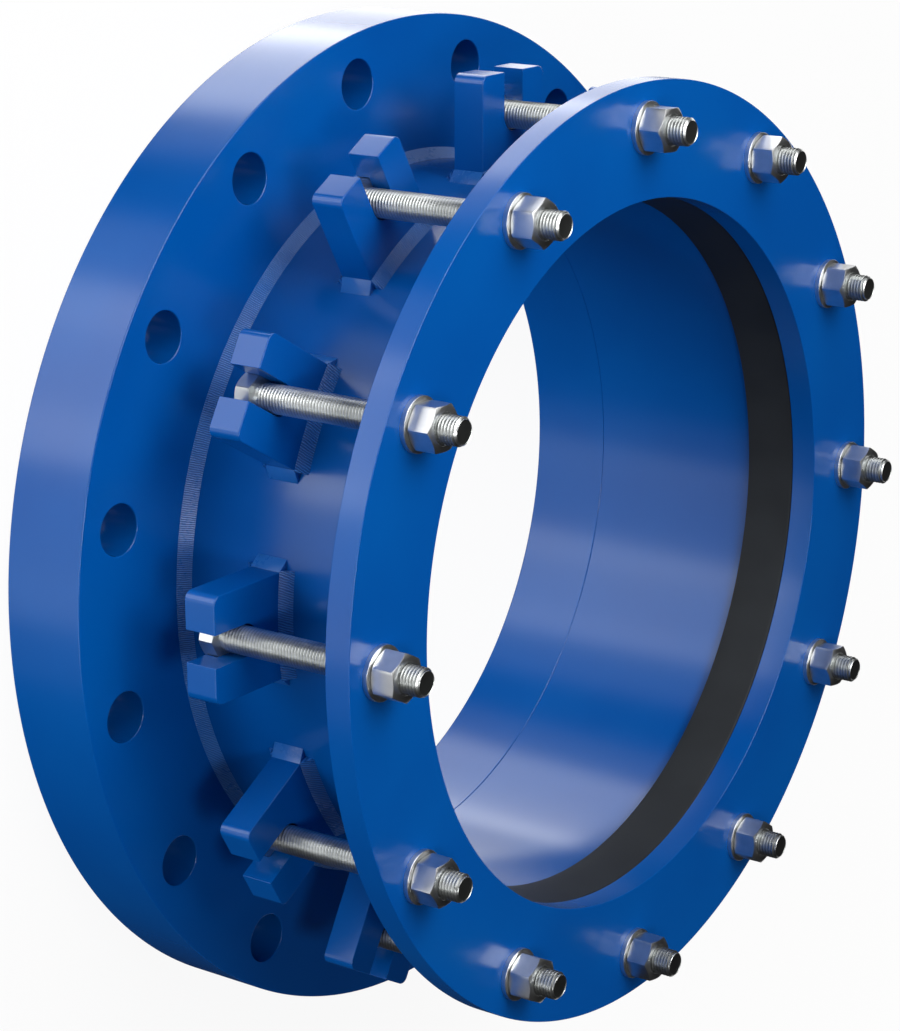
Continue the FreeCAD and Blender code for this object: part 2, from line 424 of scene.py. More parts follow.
def chain(bm: bmesh.types.BMesh, points: Sequence[Point], closed: bool) -> list:
    """Adds a line of (radius, height) points in the XZ plane.

    Args:
        bm: the mesh that takes the line.
        points: the points, in metres.
        closed: whether the last point joins the first.

    Returns:
        The new vertices and edges.
    """
    verts = [bm.verts.new((radius, 0.0, height)) for radius, height in points]
    pairs = list(zip(verts, verts[1:]))
    if closed:
        pairs.append((verts[-1], verts[0]))
    return verts + [bm.edges.new(pair) for pair in pairs]


def turned(points: Sequence[Point], steps: int) -> bmesh.types.BMesh:
    """Turns a closed profile about the common axis.

    Args:
        points: (radius, height) points in millimetres, in order.
        steps: how many steps make the full turn.

    Returns:
        The turned mesh, with its normals outwards.
    """
    bm = bmesh.new()
    geom = chain(bm, [(radius * MM, height * MM) for radius, height in points], True)
    bmesh.ops.spin(bm, geom=geom, cent=CENTRE, axis=UP, dvec=Vector(), angle=FULL_TURN,
                   steps=steps, use_merge=True)
    bmesh.ops.remove_doubles(bm, verts=bm.verts, dist=MERGE)
    bmesh.ops.recalc_face_normals(bm, faces=bm.faces)
    return bm


def soften(bm: bmesh.types.BMesh, width: float, segments: int = 2,
           wanted: Optional[Callable] = None) -> None:
    """Rounds the sharp edges of a mesh.

    Args:
        bm: the mesh.
        width: the rounding's width, in millimetres.
        segments: how many faces cross each rounding.
        wanted: a test that an edge has to pass, or None for every sharp edge.
    """
    edges = [
        edge
        for edge in bm.edges
        if len(edge.link_faces) == 2
        and edge.calc_face_angle(0.0) > SHARP_ANGLE
        and (wanted is None or wanted(edge))
    ]
    bmesh.ops.bevel(
        bm,
        geom=edges,
        offset=width * MM,
        segments=segments,
        profile=0.5,
        affect="EDGES",
        clamp_overlap=True,
        material=-1,
    )


def drilled_plate(outer: float, inner: float, low: float, high: float, holes: Sequence[Point],
                  hole_radius: float, hole_steps: int) -> bmesh.types.BMesh:
    """Makes a round plate with a bore and a ring of holes.

    Args:
        outer: the plate's radius.
        inner: the bore's radius.
        low: the lower face's height.
        high: the upper face's height.
        holes: the holes' centres.
        hole_radius: the holes' radius.
        hole_steps: the sides of each hole.

    Returns:
        The closed mesh. All sizes are in millimetres.
    """
    bm = bmesh.new()
    floor = Matrix.Translation((0.0, 0.0, low * MM))
    for radius in (outer, inner):
        bmesh.ops.create_circle(bm, segments=LARGE_STEPS, radius=radius * MM, matrix=floor)
    for x, y in holes:
        place = Matrix.Translation((x * MM, y * MM, low * MM))
        bmesh.ops.create_circle(bm, segments=hole_steps, radius=hole_radius * MM, matrix=place)
    bmesh.ops.triangle_fill(bm, use_beauty=True, use_dissolve=False, edges=bm.edges[:], normal=UP)
    raise_faces(bm, high - low)
    return bm


def raise_faces(bm: bmesh.types.BMesh, height: float) -> None:
    """Extrudes all faces of a flat mesh upwards into a closed one.

    Args:
        bm: the flat mesh.
        height: how far, in millimetres.
    """
    grown = bmesh.ops.extrude_face_region(bm, geom=bm.faces[:])["geom"]
    top = [item for item in grown if isinstance(item, bmesh.types.BMVert)]
    bmesh.ops.translate(bm, verts=top, vec=(0.0, 0.0, height * MM))
    bmesh.ops.recalc_face_normals(bm, faces=bm.faces)


def on_circle(radius: float, bearing: float) -> Point:
    """Finds a point on a circle about the common axis.

    Args:
        radius: the circle's radius.
        bearing: the point's bearing, in degrees about +Z from +X.

    Returns:
        The point's (x, y), in the radius's unit.
    """
    angle = math.radians(bearing)
    return radius * math.cos(angle), radius * math.sin(angle)


def keep(bm: bmesh.types.BMesh, name: str, material: bpy.types.Material, body: str,
         replaces: Iterable[str], weighted: bool = True) -> bpy.types.Object:
    """Turns a finished mesh into a piece of the object.

    Args:
        bm: the mesh, in the object's frame. It is freed.
        name: the piece's name.
        material: its finish.
        body: the body it rides on.
        replaces: the solids' nodes that it stands for.
        weighted: whether large faces keep their own flat shading.

    Returns:
        The new piece.
    """
    mesh = bpy.data.meshes.new(name)
    bm.to_mesh(mesh)
    bm.free()
    mesh.materials.append(material)
    mesh.polygons.foreach_set("use_smooth", [True] * len(mesh.polygons))
    mesh.set_sharp_from_angle(angle=SHARP_ANGLE)
    piece = bpy.data.objects.new(name, mesh)
    bpy.context.scene.collection.objects.link(piece)
    if weighted:
        modifier = piece.modifiers.new("even_faces", "WEIGHTED_NORMAL")
        modifier.keep_sharp = True
    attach(piece, body)
    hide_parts(*replaces)
    triangles = sum(len(polygon.vertices) - 2 for polygon in mesh.polygons)
    LOG.info("%s: %d triangles", name, triangles)
    return piece


def copied_node(node: str) -> bmesh.types.BMesh:
    """Copies a node's mesh and joins its loose triangles into whole faces.

    Args:
        node: the node's name.

    Returns:
        The merged mesh.
    """
    bm = bmesh.new()
    bm.from_mesh(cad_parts[node].data)
    bmesh.ops.remove_doubles(bm, verts=bm.verts, dist=MERGE)
    bmesh.ops.dissolve_limit(bm, angle_limit=FLAT_ANGLE, verts=bm.verts, edges=bm.edges)
    return bm


# ---------------------------------------------------------------- sub-assemblies


@dataclass(frozen=True)
class Levels:
    """The heights that the pieces share, in millimetres from the flange's mating face.

    Attributes:
        flange_front: the flange's front face, where the sleeve stands.
        lug_back: the lugs' back faces.
        lug_front: the lugs' front faces.
        flare_start: where the sleeve's bell begins to open.
        flare_end: where the bell is fully open.
        sleeve_end: the bell's rim, which carries the gasket's heel.
        ring_back: the gasket's heel and the gland ring's back.
        ring_front: the gland ring's front, which carries the washers.
        washer_front: the washers' front, which carries the nuts.
    """

    flange_front: float = 51.3
    lug_back: float = 102.3
    lug_front: float = 122.3
    flare_start: float = 166.0
    flare_end: float = 180.0
    sleeve_end: float = 186.0
    ring_back: float = 194.9
    ring_front: float = 210.6
    washer_front: float = 213.6


@dataclass(frozen=True)
class GlandPattern:
    """The ring of gland bolts that the lugs, the gland ring and the fasteners share.

    Attributes:
        count: how many bolts there are.
        radius: the bolt circle's radius, in millimetres.
        first: the first bolt's bearing, in degrees.
    """

    count: int = 12
    radius: float = 247.2
    first: float = 90.0

    def bearing(self, number: int) -> float:
        """Finds a bolt's bearing.

        Args:
            number: the bolt's number, from 0.

        Returns:
            The bearing, in degrees.
        """
        return self.first + number * 360.0 / self.count

    def centres(self) -> list[Point]:
        """Lists the (x, y) of every bolt, in millimetres."""
        return [on_circle(self.radius, self.bearing(number)) for number in range(self.count)]

    def place(self, number: int, own_turn: float) -> Matrix:
        """Finds the matrix that takes a shape from the common axis to one bolt.

        Args:
            number: the bolt's number, from 0.
            own_turn: how far the shape is turned about its own axis, in degrees.

        Returns:
            The matrix, in metres.
        """
        x, y = self.centres()[number]
        turn = Matrix.Rotation(math.radians(own_turn), 4, "Z")
        return Matrix.Translation((x * MM, y * MM, 0.0)) @ turn


@dataclass
class Barrel:
    """The drilled flange, the belled sleeve and the weld between them. Sizes in millimetres.

    Attributes:
        levels: the shared heights.
        flange_radius: the flange's outside.
        hole_circle: the radius of the flange's hole circle.
        hole_radius: the radius of its holes.
        holes: how many there are.
        hole_steps: the sides of each hole.
        first_hole: the bearing from which the first hole is half a step away, in degrees.
        bore: the radius of the bore.
        wall: the sleeve's wall.
        flare_rise: how much the bell opens, in radius.
        edge: the rounding of the flange's edges.
        bell_edge: the rounding of the bell's edges.
        bell_zone: the height above which the sleeve's edges are rounded.
        seam: the chamfer that shows where the sleeve meets the flange in the bore.
        weld_leg: the weld's leg.
        ripple: the length of one of its ripples.
    """

    levels: Levels
    flange_radius: float = 298.45
    hole_circle: float = 269.875
    hole_radius: float = 14.3
    holes: int = 16
    hole_steps: int = 48
    first_hole: float = 90.0
    bore: float = 209.0
    wall: float = 5.5
    flare_rise: float = 11.0
    edge: float = 0.8
    bell_edge: float = 0.5
    bell_zone: float = 170.0
    seam: float = 0.25
    weld_leg: float = 6.0
    ripple: float = 1.2

    def flange(self, finish: bpy.types.Material) -> bpy.types.Object:
        """Builds the drilled plate flange.

        Args:
            finish: the coating.

        Returns:
            The new piece.
        """
        step = 360.0 / self.holes
        centres = [on_circle(self.hole_circle, self.first_hole + (number + 0.5) * step)
                   for number in range(self.holes)]
        bm = drilled_plate(self.flange_radius, self.bore, 0.0, self.levels.flange_front, centres,
                           self.hole_radius, self.hole_steps)
        soften(bm, self.edge, 3)
        return keep(bm, "drilled_flange", finish, Body.SLEEVE, ["flange"])

    def sleeve(self, finish: bpy.types.Material) -> bpy.types.Object:
        """Builds the rolled barrel with its bell.

        Args:
            finish: the coating.

        Returns:
            The new piece.
        """
        foot, rim = self.levels.flange_front, self.levels.sleeve_end
        start, end = self.levels.flare_start, self.levels.flare_end
        slant = math.hypot(end - start, self.flare_rise)
        shift = self.wall * (slant - (end - start)) / self.flare_rise
        bell = self.bore + self.flare_rise
        bm = turned([
            (self.bore + self.seam, foot),
            (self.bore + self.wall, foot),
            (self.bore + self.wall, start - shift),
            (bell + self.wall, end - shift),
            (bell + self.wall, rim),
            (bell, rim),
            (bell, end),
            (self.bore, start),
            (self.bore, foot + self.seam),
        ], LARGE_STEPS)
        zone = self.bell_zone * MM
        soften(bm, self.bell_edge, 2, lambda edge: max(vert.co.z for vert in edge.verts) > zone)
        return keep(bm, "belled_sleeve", finish, Body.SLEEVE, ["sleeve"])

    def weld(self, finish: bpy.types.Material) -> bpy.types.Object:
        """Builds the rippled fillet weld round the foot of the sleeve.

        Args:
            finish: the coating over the weld.

        Returns:
            The new piece.
        """
        root, base = self.bore + self.wall, self.levels.flange_front
        face = bead_profile(root, base, self.weld_leg, 1.0)
        bm = turned(face + [(root, base)], LARGE_STEPS)
        lay_beads(bm, root, base, self.weld_leg, 1.0, self.ripple, 0.0)
        return keep(bm, "rippled_flange_weld", finish, Body.SLEEVE,
                    ["flange_weld"], False)

    def build(self, finish: bpy.types.Material, weld: bpy.types.Material) -> None:
        """Builds the three pieces.

        Args:
            finish: the coating.
            weld: the coating over the weld.
        """
        self.flange(finish)
        self.sleeve(finish)
        self.weld(weld)


def bead_profile(root: float, base: float, leg: float, side: float, points: int = 6) -> list[Point]:
    """Lists the points of a fillet's face, from its toe on the plate to its toe on the sleeve.

    Args:
        root: the radius of the sleeve's outside.
        base: the height of the plate's face.
        leg: the fillet's leg.
        side: 1 where the fillet lies above the plate's face, -1 below it.
        points: how many points the face has.

    Returns:
        (radius, height) points in the units of the arguments.
    """
    line = []
    for number in range(points):
        share = number / (points - 1)
        line.append((root + leg * (1.0 - share), base + side * leg * share))
    return line


def lay_beads(bm: bmesh.types.BMesh, root: float, base: float, leg: float, side: float,
              ripple: float, slant: float) -> None:
    """Counts a turned fillet's ripples in a UV map's U, and marks them with a V of 1.

    Args:
        bm: the fillet's mesh.
        root: the radius of the sleeve's outside.
        base: the height of the plate's face.
        leg: the fillet's leg.
        side: 1 where the fillet lies above the plate's face, -1 below it.
        ripple: the ripples' length along the bead.
        slant: how many ripples further the sleeve's toe is than the plate's.

    All sizes are in millimetres.
    """
    layer = bm.loops.layers.uv.new(BEAD_MAP)
    turn = round(FULL_TURN * (root + leg / 2.0) / ripple)
    for face in bm.faces:
        middle = face.calc_center_median()
        start = math.atan2(middle.y, middle.x)
        for loop in face.loops:
            place = loop.vert.co
            offset = (math.atan2(place.y, place.x) - start + math.pi) % FULL_TURN - math.pi
            share = side * (place.z / MM - base) / leg
            loop[layer].uv = ((start + offset) / FULL_TURN * turn + slant * share, 1.0)


@dataclass
class ForkLugs:
    """The fork lugs and the welds round them. Sizes in millimetres.

    Attributes:
        pattern: the ring of gland bolts.
        levels: the shared heights.
        root: the radius of the sleeve's outside.
        half_width: half of a lug's width.
        leg: the welds' leg.
        ripple: the length of one of their ripples.
        slant: how many ripples further the sleeve's toe is than the lug's.
        edge: the rounding of the lugs' edges.
        end_edge: the rounding of the end fillets' edges.
        sunk: how far the end fillets reach into the sleeve.
        weld_steps: the steps along a face's fillet.
    """

    pattern: GlandPattern
    levels: Levels
    root: float = 214.5
    half_width: float = 30.0
    leg: float = 5.8
    ripple: float = 1.4
    slant: float = -2.0
    edge: float = 0.45
    end_edge: float = 0.3
    sunk: float = 1.0
    weld_steps: int = 24

    def lug(self, number: int, finish: bpy.types.Material) -> bpy.types.Object:
        """Builds one fork lug, with its edges rounded.

        Args:
            number: the lug's number, from 0.
            finish: the coating.

        Returns:
            The new piece.
        """
        node = f"lug_{number + 1:02d}"
        bm = copied_node(node)
        soften(bm, self.edge, 2)
        return keep(bm, f"fork_{node}", finish, Body.SLEEVE, [node])

    def fillets(self) -> bmesh.types.BMesh:
        """Makes the four fillets round the lug along +X, the two along its faces with ripples.

        Returns:
            The four closed fillets, in metres.
        """
        bm = bmesh.new()
        reach = math.asin(self.half_width / self.root)
        first = Matrix.Rotation(-reach, 3, "Z")
        for face, side in ((self.levels.lug_front, 1.0), (self.levels.lug_back, -1.0)):
            part = bmesh.new()
            profile = bead_profile(self.root, face, self.leg, side) + [(self.root, face)]
            geom = chain(part, [(radius * MM, height * MM) for radius, height in profile], True)
            bmesh.ops.rotate(part, verts=part.verts, cent=CENTRE, matrix=first)
            bmesh.ops.spin(part, geom=geom, cent=CENTRE, axis=UP, dvec=Vector(),
                           angle=2.0 * reach, steps=self.weld_steps)
            ends = [edge for edge in part.edges if edge.is_boundary]
            bmesh.ops.edgeloop_fill(part, edges=ends)
            bmesh.ops.recalc_face_normals(part, faces=part.faces)
            lay_beads(part, self.root, face, self.leg, side, self.ripple, self.slant)
            add_mesh(bm, part)
        for side in (-1.0, 1.0):
            add_mesh(bm, self.end_fillet(side))
        return bm

    def end_fillet(self, side: float) -> bmesh.types.BMesh:
        """Makes the plain fillet up one end of the lug.

        Args:
            side: -1 or 1, for the end towards -Y or +Y.

        Returns:
            The prism, in metres.
        """
        part = bmesh.new()
        inner, outer = self.half_width, self.half_width + self.leg
        foot = math.sqrt(self.root ** 2 - inner ** 2)
        toe = math.sqrt(self.root ** 2 - outer ** 2)
        points = [(toe - self.sunk, side * inner), (foot + self.leg, side * inner),
                  (toe, side * outer)]
        low = self.levels.lug_back
        part.faces.new([part.verts.new((x * MM, y * MM, low * MM)) for x, y in points])
        raise_faces(part, self.levels.lug_front - low)
        soften(part, self.end_edge, 2)
        return part

    def build(self, finish: bpy.types.Material, weld: bpy.types.Material) -> None:
        """Builds the lugs and one piece with all their welds.

        Args:
            finish: the coating.
            weld: the coating over the welds.
        """
        welds = bmesh.new()
        for number in range(self.pattern.count):
            self.lug(number, finish)
            one = self.fillets()
            turn = Matrix.Rotation(math.radians(self.pattern.bearing(number)), 3, "Z")
            bmesh.ops.rotate(one, verts=one.verts, cent=CENTRE, matrix=turn)
            add_mesh(welds, one)
        keep(welds, "lug_fillet_welds", weld, Body.SLEEVE, ["lug_welds"], False)


def add_mesh(target: bmesh.types.BMesh, part: bmesh.types.BMesh) -> None:
    """Adds one mesh to another, and frees it.

    Args:
        target: the mesh that grows.
        part: the mesh that is added and freed.
    """
    carrier = bpy.data.meshes.new("carrier")
    part.to_mesh(carrier)
    part.free()
    target.from_mesh(carrier)
    bpy.data.meshes.remove(carrier)


@dataclass(frozen=True)
class HexShape:
    """A hexagonal body turned off by a cone at its faces. Sizes in millimetres.

    Attributes:
        across_flats: the width across flats.
        face_share: the round face's diameter, as a share of the width across flats.
        chamfer: the cone's slope, in degrees.
        steps: the points round the shape.
        corner_cut: how far the rounding takes a corner in.
        corner_slope: how much further it goes in for a degree away from the corner.
        side_levels: the rings up a side, from -1 at its lower edge to 1 at its upper edge.
    """

    across_flats: float = 24.0
    face_share: float = 0.955
    chamfer: float = 30.0
    steps: int = 96
    corner_cut: float = 0.155
    corner_slope: float = 0.0025
    side_levels: tuple[float, ...] = (-1.0, -0.94, 0.94, 1.0)

    @property
    def face_radius(self) -> float:
        """The radius of the round face."""
        return self.across_flats / 2.0 * self.face_share

    def reach(self, bearing: float) -> float:
        """Finds the distance from the axis to the side.

        Args:
            bearing: the bearing about the axis from a corner, in radians.

        Returns:
            The distance, with the corners rounded.
        """
        sector = math.pi / 3.0
        local = abs((bearing + sector / 2.0) % sector - sector / 2.0)
        flat = self.across_flats / 2.0
        straight = flat / math.cos(sector / 2.0 - local)
        rounded = flat / math.cos(sector / 2.0) - self.corner_cut
        return min(straight, rounded - self.corner_slope * math.degrees(local))

    def height_at(self, reach: float, face: float, sign: float) -> float:
        """Finds the height where the cone meets the side.

        Args:
            reach: the distance from the axis.
            face: the height of the flat face.
            sign: 1 for the upper face, -1 for the lower one.

        Returns:
            The height.
        """
        drop = (reach - self.face_radius) * math.tan(math.radians(self.chamfer))
        return face - sign * max(drop, 0.0)

    def shell(self, bm: bmesh.types.BMesh, low: float, high: float, cones: tuple[bool, bool],
              inner_low: Sequence[Point], inner_high: Sequence[Point]) -> None:
        """Makes the shell: inner rings, the lower face, the sides, the upper face, inner rings.

        Args:
            bm: an empty mesh that takes the shell.
            low: the lower face's height.
            high: the upper face's height.
            cones: whether the lower and the upper corners are turned off.
            inner_low: (radius, height) rings inside the lower face, from the inside out.
            inner_high: (radius, height) rings inside the upper face, from the outside in.
        """
        rings: list[tuple[Optional[float], float]] = [*inner_low, (self.face_radius, low)]
        rings += [(None, level) for level in self.side_levels]
        rings += [(self.face_radius, high), *inner_high]
        ring_verts = [bmesh.ops.create_circle(bm, segments=self.steps, radius=1.0)["verts"]]
        loop = bm.edges[:]
        for _ in rings[1:]:
            grown = bmesh.ops.extrude_edge_only(bm, edges=loop)["geom"]
            loop = [item for item in grown if isinstance(item, bmesh.types.BMEdge)]
            ring_verts.append([item for item in grown if isinstance(item, bmesh.types.BMVert)])
        for (radius, level), verts in zip(rings, ring_verts):
            for vert in verts:
                bearing = math.atan2(vert.co.y, vert.co.x)
                far, height = radius, level
                if radius is None:
                    far = self.reach(bearing)
                    foot = self.height_at(far, low, -1.0) if cones[0] else low
                    head = self.height_at(far, high, 1.0) if cones[1] else high
                    height = (foot + head) / 2.0 + level * (head - foot) / 2.0
                vert.co = Vector((far * math.cos(bearing), far * math.sin(bearing), height)) * MM


@dataclass
class Fasteners:
    """The gland bolts, their washers and their nuts. Sizes in millimetres.

    Attributes:
        pattern: the ring of gland bolts.
        levels: the shared heights.
        thread: the thread's outside diameter.
        pitch: its pitch.
        depth_share: the thread's depth, as a share of the pitch.
        flank_angle: the slope of a thread's flank, in degrees.
        thread_steps: the points round the thread.
        head_seat: the height of the head's front, on the lug's recess.
        head_height: the head's height.
        head_dish: the (radius, depth) rings of the shallow dish in the head's back.
        bolt_end: the height of the bolts' ends.
        neck_radius: the relieved neck's radius, under the head.
        neck_length: the neck's length.
        point: how far the thread is turned down at the bolt's end.
        end_land: the width of the flat land round the hollow in the bolt's end.
        end_hollow: the hollow's depth.
        end_dip: how much deeper its middle is.
        end_shade: the groove value of the hollow, which paints shade into it, where 1 is a thread's
            root.
        washer_radius: the washers' outside.
        washer_bore: the radius of their bore.
        washer_edge: the rounding of their edges.
        washer_round: the further rounding of the upper outer edge.
        rim_band: how near to the upper outer edge that rounding starts.
        washer_steps: the sides of a washer.
        nut_front: the nuts' front.
        nut_bore: the radius of the nuts' bore.
        nut_mouth: the chamfer at its mouths.
        nut_corners: where each nut's corner points, in degrees.
        hexagon: the shape of heads and nuts.
    """

    pattern: GlandPattern
    levels: Levels
    thread: float = 16.0
    pitch: float = 2.0
    depth_share: float = 0.6134
    flank_angle: float = 30.0
    thread_steps: int = 28
    head_seat: float = 110.3
    head_height: float = 10.0
    head_dish: tuple[Point, ...] = ((2.0, 0.1), (7.0, 0.1), (9.0, 0.0))
    bolt_end: float = 240.3
    neck_radius: float = 7.1
    neck_length: float = 1.6
    point: float = 1.5
    end_land: float = 0.4
    end_hollow: float = 0.35
    end_dip: float = 0.3
    end_shade: float = 1.6
    washer_radius: float = 15.0
    washer_bore: float = 8.5
    washer_edge: float = 0.2
    washer_round: float = 1.1
    rim_band: float = 0.5
    washer_steps: int = 64
    nut_front: float = 228.4
    nut_bore: float = 8.06
    nut_mouth: float = 0.9
    nut_corners: tuple[float, ...] = (57, 27, 59, 32, 5, 32, 56, 27, 55, 27, 2, 28)
    hexagon: HexShape = field(default_factory=HexShape)

    @property
    def shank_start(self) -> float:
        """The height where the thread begins, above the neck."""
        return self.head_seat + self.neck_length

    @property
    def depth(self) -> float:
        """The thread's depth."""
        return self.depth_share * self.pitch

    def helix(self) -> bmesh.types.BMesh:
        """Winds the thread's surface as a real helix, longer than the shank at both ends.

        Returns:
            The open surface, in metres.
        """
        crest, root = self.thread / 2.0, self.thread / 2.0 - self.depth
        flank = self.depth * math.tan(math.radians(self.flank_angle))
        land = self.pitch / 8.0
        bm = bmesh.new()
        points = []
        for number in range(math.ceil((self.bolt_end - self.shank_start) / self.pitch) + 2):
            base = self.shank_start + (number - 1.5) * self.pitch
            points += [(crest, base), (crest, base + land), (root, base + land + flank),
                       (root, base + self.pitch - flank)]
        geom = chain(bm, [(far * MM, height * MM) for far, height in points], False)
        rise = UP * (self.pitch * MM / self.thread_steps)
        bmesh.ops.spin(bm, geom=geom, cent=CENTRE, axis=UP, dvec=rise, angle=FULL_TURN,
                       steps=self.thread_steps)
        bmesh.ops.remove_doubles(bm, verts=bm.verts, dist=MERGE)
        return bm

    def turn_down(self, bm: bmesh.types.BMesh) -> None:
        """Marks how deep each place lies, for the painted shade in the thread's roots, then turns
        the point and the neck down to their cones.

        Args:
            bm: the thread's surface, cut to length.
        """
        groove_shade = bm.verts.layers.float.new(GROOVE_SHADE)
        crest = self.thread / 2.0
        for vert in bm.verts:
            far, height = math.hypot(vert.co.x, vert.co.y), vert.co.z / MM
            vert[groove_shade] = (crest - far / MM) / self.depth
            most = min(crest - self.point + self.bolt_end - height,
                       self.neck_radius + height - self.shank_start) * MM
            if far > most:
                vert.co.x *= most / far
                vert.co.y *= most / far

    def cap(self, bm: bmesh.types.BMesh, height: float) -> list:
        """Closes the shank with a flat face.

        Args:
            bm: the shank.
            height: the open end's height.

        Returns:
            The new face, in a list.
        """
        rim = [edge for edge in bm.edges if edge.is_boundary
               and all(abs(vert.co.z - height * MM) < RIM_REACH for vert in edge.verts)]
        return bmesh.ops.edgeloop_fill(bm, edges=rim)["faces"]

    def hollow_end(self, bm: bmesh.types.BMesh, end: list) -> None:
        """Presses the shallow hollow into the bolt's end, and paints shade into it.

        Args:
            bm: the shank.
            end: the end's face, in a list.
        """
        end[0].normal_update()
        if end[0].normal.z < 0.0:
            bmesh.ops.reverse_faces(bm, faces=end)
        bmesh.ops.inset_region(bm, faces=end, thickness=self.end_land * MM,
                               depth=-self.end_hollow * MM, use_even_offset=True)
        poked = bmesh.ops.poke(bm, faces=end, offset=-self.end_dip * MM)["faces"]
        # Painted shade in the end's hollow.
        groove_shade = bm.verts.layers.float[GROOVE_SHADE]
        for vert in {vert for face in poked for vert in face.verts}:
            vert[groove_shade] = self.end_shade

    def threaded_rod(self) -> bmesh.types.BMesh:
        """Makes the shank: a helical thread, a turned point and a shallow hollow in the end.

        Returns:
            The closed shank, in metres.
        """
        bm = self.helix()
        for height, side in ((self.shank_start, -1.0), (self.bolt_end, 1.0)):
            bmesh.ops.bisect_plane(bm, geom=bm.verts[:] + bm.edges[:] + bm.faces[:], dist=MERGE,
                                   plane_co=(0.0, 0.0, height * MM), plane_no=(0.0, 0.0, side),
                                   clear_outer=True)
        self.turn_down(bm)
        self.hollow_end(bm, self.cap(bm, self.bolt_end))
        self.cap(bm, self.shank_start)
        bmesh.ops.recalc_face_normals(bm, faces=bm.faces)
        return bm

    def head(self) -> bmesh.types.BMesh:
        """Makes the hexagon head and its neck.

        Returns:
            The closed mesh, in metres.
        """
        bm = bmesh.new()
        low = self.head_seat - self.head_height
        self.hexagon.shell(
            bm, low, self.head_seat, (True, False),
            [(far, low + depth) for far, depth in self.head_dish],
            [(self.neck_radius, self.head_seat), (self.neck_radius, self.shank_start)],
        )
        ends = [edge for edge in bm.edges if edge.is_boundary]
        bmesh.ops.edgeloop_fill(bm, edges=ends)
        bmesh.ops.recalc_face_normals(bm, faces=bm.faces)
        return bm

    def nut(self) -> bmesh.types.BMesh:
        """Makes the hexagon nut, chamfered at both faces and at both mouths of its thread.

        Returns:
            The closed mesh, in metres.
        """
        bm = bmesh.new()
        low, high, mouth = self.levels.washer_front, self.nut_front, self.nut_bore + self.nut_mouth
        self.hexagon.shell(
            bm, low, high, (True, True),
            [(self.nut_bore, low + self.nut_mouth), (mouth, low)],
            [(mouth, high), (self.nut_bore, high - self.nut_mouth)],
        )
        loops = [edge for edge in bm.edges if edge.is_boundary]
        bmesh.ops.bridge_loops(bm, edges=loops)
        bmesh.ops.recalc_face_normals(bm, faces=bm.faces)
        return bm

    def on_rim(self, edge: bmesh.types.BMEdge) -> bool:
        """Tells whether a washer's edge lies at its upper outer rim.

        Args:
            edge: the edge.

        Returns:
            True where both of its ends do.
        """
        low = (self.levels.washer_front - self.rim_band) * MM
        near = (self.washer_radius - self.rim_band) * MM
        return all(vert.co.z > low and math.hypot(vert.co.x, vert.co.y) > near
                   for vert in edge.verts)

    def washer(self) -> bmesh.types.BMesh:
        """Makes the plain washer, its upper edge rounded by stamping.

        Returns:
            The closed mesh, in metres.
        """
        low, high = self.levels.ring_front, self.levels.washer_front
        bm = turned([(self.washer_bore, low), (self.washer_radius, low),
                     (self.washer_radius, high), (self.washer_bore, high)], self.washer_steps)
        soften(bm, self.washer_edge, 2)
        soften(bm, self.washer_round, 3, self.on_rim)
        return bm

    def build(self, thread: bpy.types.Material, nut: bpy.types.Material,
              washer: bpy.types.Material) -> None:
        """Builds every bolt and nut as a piece of its own, and the washers as one.

        Args:
            thread: the bolts' finish.
            nut: the nuts' finish.
            washer: the washers' finish.
        """
        washers = bmesh.new()
        for number, corner in zip(range(self.pattern.count), self.nut_corners):
            label = f"{number + 1:02d}"
            bolt = self.threaded_rod()
            add_mesh(bolt, self.head())
            bolt.transform(self.pattern.place(number, self.pattern.bearing(number)))
            keep(bolt, f"gland_bolt_{label}", thread, Body.SLEEVE, ["gland_bolts"],
                 False)
            turned_nut = self.nut()
            turned_nut.transform(self.pattern.place(number, corner))
            keep(turned_nut, f"hexagon_nut_{label}", nut, f"nut_{label}_body",
                 [f"nut_{label}"])
            ring = self.washer()
            ring.transform(self.pattern.place(number, 0.0))
            add_mesh(washers, ring)
        keep(washers, "plain_washers", washer, Body.GLAND, ["gland_washers"])


